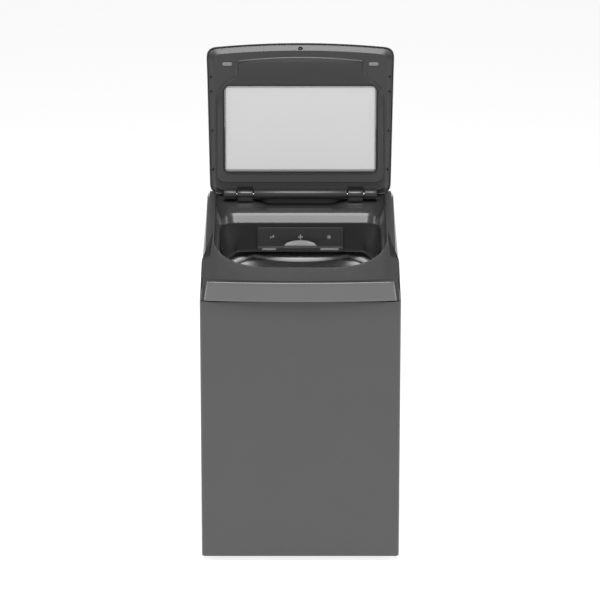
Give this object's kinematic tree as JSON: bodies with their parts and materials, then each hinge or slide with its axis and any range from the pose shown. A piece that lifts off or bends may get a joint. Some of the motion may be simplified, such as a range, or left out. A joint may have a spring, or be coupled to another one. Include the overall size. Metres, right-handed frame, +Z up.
{
  "type": "top load washing machine",
  "caption": "Top load washing machine: sheet cabinet, sloping deck, hinged glass lid held open, dispenser drawer, hung tub with spinning basket and impeller.",
  "frame": {"origin": "on the floor, under the middle of the footprint, with the lid open", "axes": "+Z up, front of the machine towards -Y, +X to the right as seen from the front"},
  "size_m": [0.6, 0.6399, 1.4857],
  "materials": {
    "painted_sheet": "satin metallic grey paint",
    "zinc_sheet": "zinc coated",
    "deck_plastic": "fine satin",
    "inner_plastic": "satin",
    "skirt_plastic": "satin",
    "strip_finish": "satin metallic",
    "panel_gloss": "gloss",
    "window_gloss": "clear tinted",
    "board_green": "matte",
    "white_plastic": "satin",
    "grey_plastic": "satin",
    "tub_plastic": "satin",
    "ring_plastic": "satin",
    "black_rubber": "matte",
    "steel": "bright",
    "basket_steel": "brushed",
    "cast_alloy": "as cast",
    "motor_iron": "varnished",
    "knob_metal": "satin silver",
    "button_plastic": "satin",
    "lid_glass": "clear with light tint"
  },
  "bodies": {
    "cabinet": {"cabinet_shell": "painted_sheet", "rear_panel": "zinc_sheet", "base_frame": "motor_iron", "corner_brackets": "zinc_sheet", "top_cover": "deck_plastic", "front_fascia": "strip_finish", "inner_skirt": "skirt_plastic", "hinge_blocks": "deck_plastic", "hinge_pins": "steel", "console_housing": "deck_plastic", "console_panel": "panel_gloss", "display_window": "window_gloss", "control_board": "board_green", "dispenser_housing": "grey_plastic", "lid_lock": "grey_plastic", "inlet_valves": "white_plastic", "pressure_switch": "white_plastic", "drain_outlet": "grey_plastic", "drain_hose": "black_rubber", "cord_gland": "grey_plastic", "suspension_rods": "steel", "foot_locknuts": "steel", "cabinet_screws": "steel", "suspension_springs": "steel"},
    "tub": {"outer_tub": "tub_plastic", "tub_cover": "ring_plastic", "spring_cups": "white_plastic", "motor_bracket": "zinc_sheet", "gearbox_housing": "cast_alloy", "main_bearings": "steel", "shaft_seal": "black_rubber", "motor_stator": "motor_iron", "clutch_actuator": "white_plastic", "drain_pump": "grey_plastic", "drive_belt": "black_rubber"},
    "basket": {"basket": "basket_steel", "balance_ring": "ring_plastic", "basket_hub": "cast_alloy", "lint_filters": "white_plastic"},
    "washplate": {"impeller": "ring_plastic", "impeller_cap": "grey_plastic", "drive_shaft": "steel", "drive_pulley": "cast_alloy"},
    "motor": {"motor_rotor": "steel", "motor_pulley": "cast_alloy"},
    "lid": {"lid_outer": "deck_plastic", "lid_inner": "inner_plastic", "lid_glass": "lid_glass", "glass_seal": "black_rubber", "lid_bumpers": "grey_plastic", "lid_screws": "steel", "latch_strike": "steel"},
    "drawer": {"dispenser_drawer": "skirt_plastic"},
    "knob": {"programme_knob": "knob_metal"},
    "power_key": {"power_button": "button_plastic"},
    "start_key": {"start_button": "button_plastic"},
    "foot_fl": {"foot_front_left": "black_rubber"},
    "foot_fr": {"foot_front_right": "black_rubber"},
    "foot_rl": {"foot_rear_left": "black_rubber"},
    "foot_rr": {"foot_rear_right": "black_rubber"}
  },
  "joints": [
    {"name": "lid_hinge", "type": "hinge", "parent": "cabinet", "child": "lid", "pos_m": [0, 0.2, 1.01791], "axis": [1, 0, 0], "range_deg": [0, 109]},
    {"name": "tub_bounce", "type": "slide", "parent": "cabinet", "child": "tub", "axis": [0, 0, 1], "range_m": [-0.02, 0.01], "stiffness_N_per_m": 20000, "springref_m": 0.01812, "deforming": ["suspension_springs", "drain_hose"]},
    {"name": "basket_spin", "type": "hinge", "parent": "tub", "child": "basket", "pos_m": [0, -0.0025, 0.5], "axis": [0, 0, 1], "continuous": true},
    {"name": "washplate_spin", "type": "hinge", "parent": "tub", "child": "washplate", "pos_m": [0, -0.0025, 0.3], "axis": [0, 0, 1], "continuous": true},
    {"name": "motor_spin", "type": "hinge", "parent": "tub", "child": "motor", "pos_m": [0, 0.1475, 0.2], "axis": [0, 0, 1], "continuous": true},
    {"name": "drawer_slide", "type": "slide", "parent": "cabinet", "child": "drawer", "axis": [0, -1, 0], "range_m": [0, 0.085]},
    {"name": "knob_turn", "type": "hinge", "parent": "cabinet", "child": "knob", "pos_m": [0.15, 0.25254, 1.04411], "axis": [0, -0.9455, 0.3256], "continuous": true},
    {"name": "power_press", "type": "slide", "parent": "cabinet", "child": "power_key", "axis": [0, 0.9455, -0.3256], "range_m": [0, 0.002], "stiffness_N_per_m": 400},
    {"name": "start_press", "type": "slide", "parent": "cabinet", "child": "start_key", "axis": [0, 0.9455, -0.3256], "range_m": [0, 0.002], "stiffness_N_per_m": 400},
    {"name": "foot_fl_screw", "type": "slide", "parent": "cabinet", "child": "foot_fl", "axis": [0, 0, -1], "range_m": [0, 0.015]},
    {"name": "foot_fr_screw", "type": "slide", "parent": "cabinet", "child": "foot_fr", "axis": [0, 0, -1], "range_m": [0, 0.015]},
    {"name": "foot_rl_screw", "type": "slide", "parent": "cabinet", "child": "foot_rl", "axis": [0, 0, -1], "range_m": [0, 0.015]},
    {"name": "foot_rr_screw", "type": "slide", "parent": "cabinet", "child": "foot_rr", "axis": [0, 0, -1], "range_m": [0, 0.015]}
  ],
  "couplings": [
    {"joint": "motor_spin", "follows": "washplate_spin", "ratio": 3}
  ]
}
